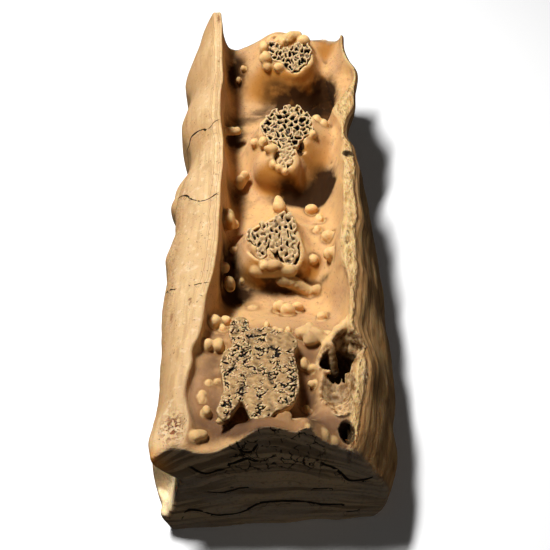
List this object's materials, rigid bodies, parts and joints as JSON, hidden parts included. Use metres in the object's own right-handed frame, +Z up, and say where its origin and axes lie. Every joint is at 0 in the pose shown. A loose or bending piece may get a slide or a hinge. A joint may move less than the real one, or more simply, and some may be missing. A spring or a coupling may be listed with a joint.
{
  "type": "fossil mammoth tooth section",
  "caption": "Long block of fossil mammoth tooth lying on its flat base, opened along its top: a waxy channel between two walls, with spongy bosses and small pearls.",
  "frame": {"origin": "centre of the flat base, on the surface that the section lies on", "axes": "+Y along the length from the lobed front boss to the pointed back end of the left wall, +Z up out of the open channel, +X to the right wall with the broken hollow"},
  "size_m": [0.0958, 0.2556, 0.0614],
  "materials": {
    "fossil_dentine": "waxy satin, honey to pale cream, with dark cracks and open brown-black pores"
  },
  "bodies": {
    "root": {"tooth_section": "fossil_dentine"}
  },
  "joints": []
}
